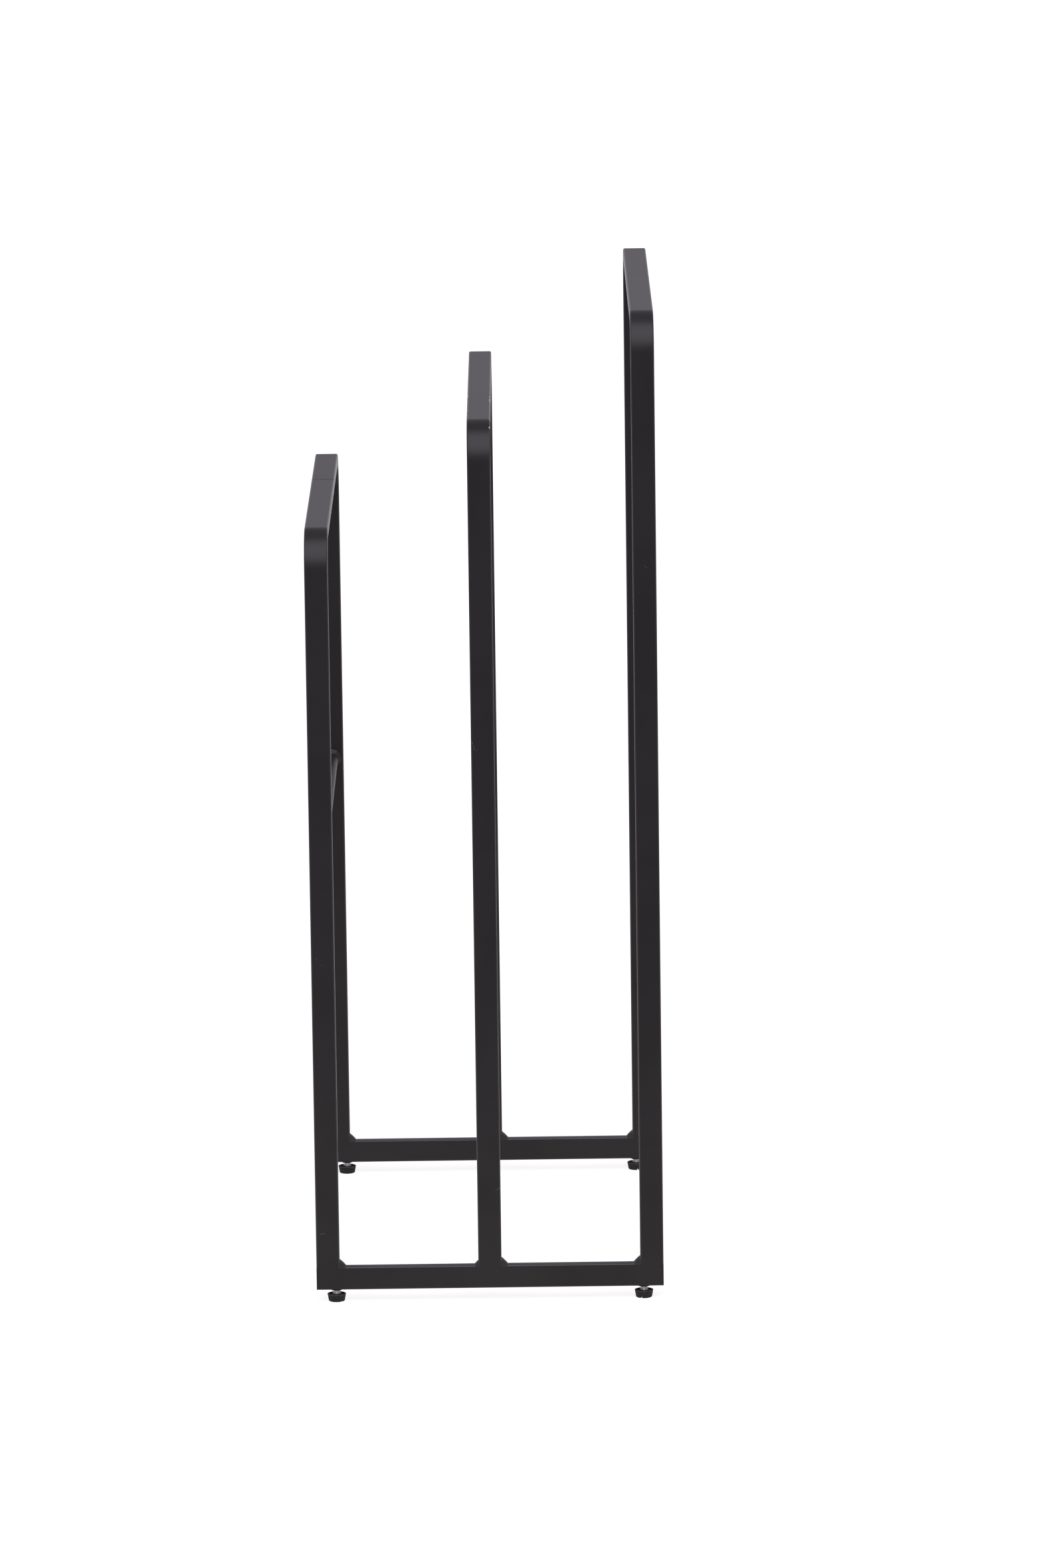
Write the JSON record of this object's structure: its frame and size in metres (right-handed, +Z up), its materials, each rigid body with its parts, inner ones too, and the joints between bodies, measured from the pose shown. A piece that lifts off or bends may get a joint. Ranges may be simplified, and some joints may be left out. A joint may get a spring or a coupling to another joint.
{
  "type": "free-standing towel stand",
  "caption": "Free-standing stand of bent flat-tube hoops that step up from low to tall on front and back floor rails, with a cross rod in the low hoop and screw levelling feet.",
  "frame": {"origin": "on the floor at the middle of the footprint", "axes": "+X from the low hoop to the tall hoop, +Y from the front frame to the back frame, +Z up"},
  "size_m": [0.298, 0.502, 0.85],
  "materials": {
    "powder_coat": "fine-textured matt black powder coat",
    "coated_weld": "matt black powder coat over rough weld beads",
    "zinc": "bright zinc plate",
    "black_plastic": "moulded black plastic, ribbed sides"
  },
  "bodies": {
    "frame": {"front_low_upright": "powder_coat", "back_low_upright": "powder_coat", "front_middle_upright": "powder_coat", "back_middle_upright": "powder_coat", "front_tall_upright": "powder_coat", "back_tall_upright": "powder_coat", "front_rail": "powder_coat", "back_rail": "powder_coat", "rail_end_plates": "powder_coat", "arm_seam_welds": "powder_coat", "cross_rod": "powder_coat", "front_frame_welds": "coated_weld", "back_frame_welds": "coated_weld", "rod_welds": "coated_weld", "threaded_bushes": "powder_coat"},
    "front_left_screw": {"front_left_stud": "zinc"},
    "front_left_base": {"front_left_foot": "black_plastic"},
    "front_right_screw": {"front_right_stud": "zinc"},
    "front_right_base": {"front_right_foot": "black_plastic"},
    "back_left_screw": {"back_left_stud": "zinc"},
    "back_left_base": {"back_left_foot": "black_plastic"},
    "back_right_screw": {"back_right_stud": "zinc"},
    "back_right_base": {"back_right_foot": "black_plastic"}
  },
  "joints": [
    {"name": "front_left_height", "type": "slide", "parent": "frame", "child": "front_left_screw", "axis": [0, 0, -1], "range_m": [-0.0031, 0.008]},
    {"name": "front_left_turn", "type": "hinge", "parent": "front_left_screw", "child": "front_left_base", "pos_m": [-0.132, -0.243, 0], "axis": [0, 0, -1], "range_deg": [-1118, 2884]},
    {"name": "front_right_height", "type": "slide", "parent": "frame", "child": "front_right_screw", "axis": [0, 0, -1], "range_m": [-0.0031, 0.008]},
    {"name": "front_right_turn", "type": "hinge", "parent": "front_right_screw", "child": "front_right_base", "pos_m": [0.132, -0.243, 0], "axis": [0, 0, -1], "range_deg": [-1118, 2884]},
    {"name": "back_left_height", "type": "slide", "parent": "frame", "child": "back_left_screw", "axis": [0, 0, -1], "range_m": [-0.0031, 0.008]},
    {"name": "back_left_turn", "type": "hinge", "parent": "back_left_screw", "child": "back_left_base", "pos_m": [-0.132, 0.243, 0], "axis": [0, 0, -1], "range_deg": [-1118, 2884]},
    {"name": "back_right_height", "type": "slide", "parent": "frame", "child": "back_right_screw", "axis": [0, 0, -1], "range_m": [-0.0031, 0.008]},
    {"name": "back_right_turn", "type": "hinge", "parent": "back_right_screw", "child": "back_right_base", "pos_m": [0.132, 0.243, 0], "axis": [0, 0, -1], "range_deg": [-1118, 2884]}
  ],
  "couplings": [
    {"joint": "front_left_turn", "follows": "front_left_height", "rad_per_m": 6283.2},
    {"joint": "front_right_turn", "follows": "front_right_height", "rad_per_m": 6283.2},
    {"joint": "back_left_turn", "follows": "back_left_height", "rad_per_m": 6283.2},
    {"joint": "back_right_turn", "follows": "back_right_height", "rad_per_m": 6283.2}
  ]
}
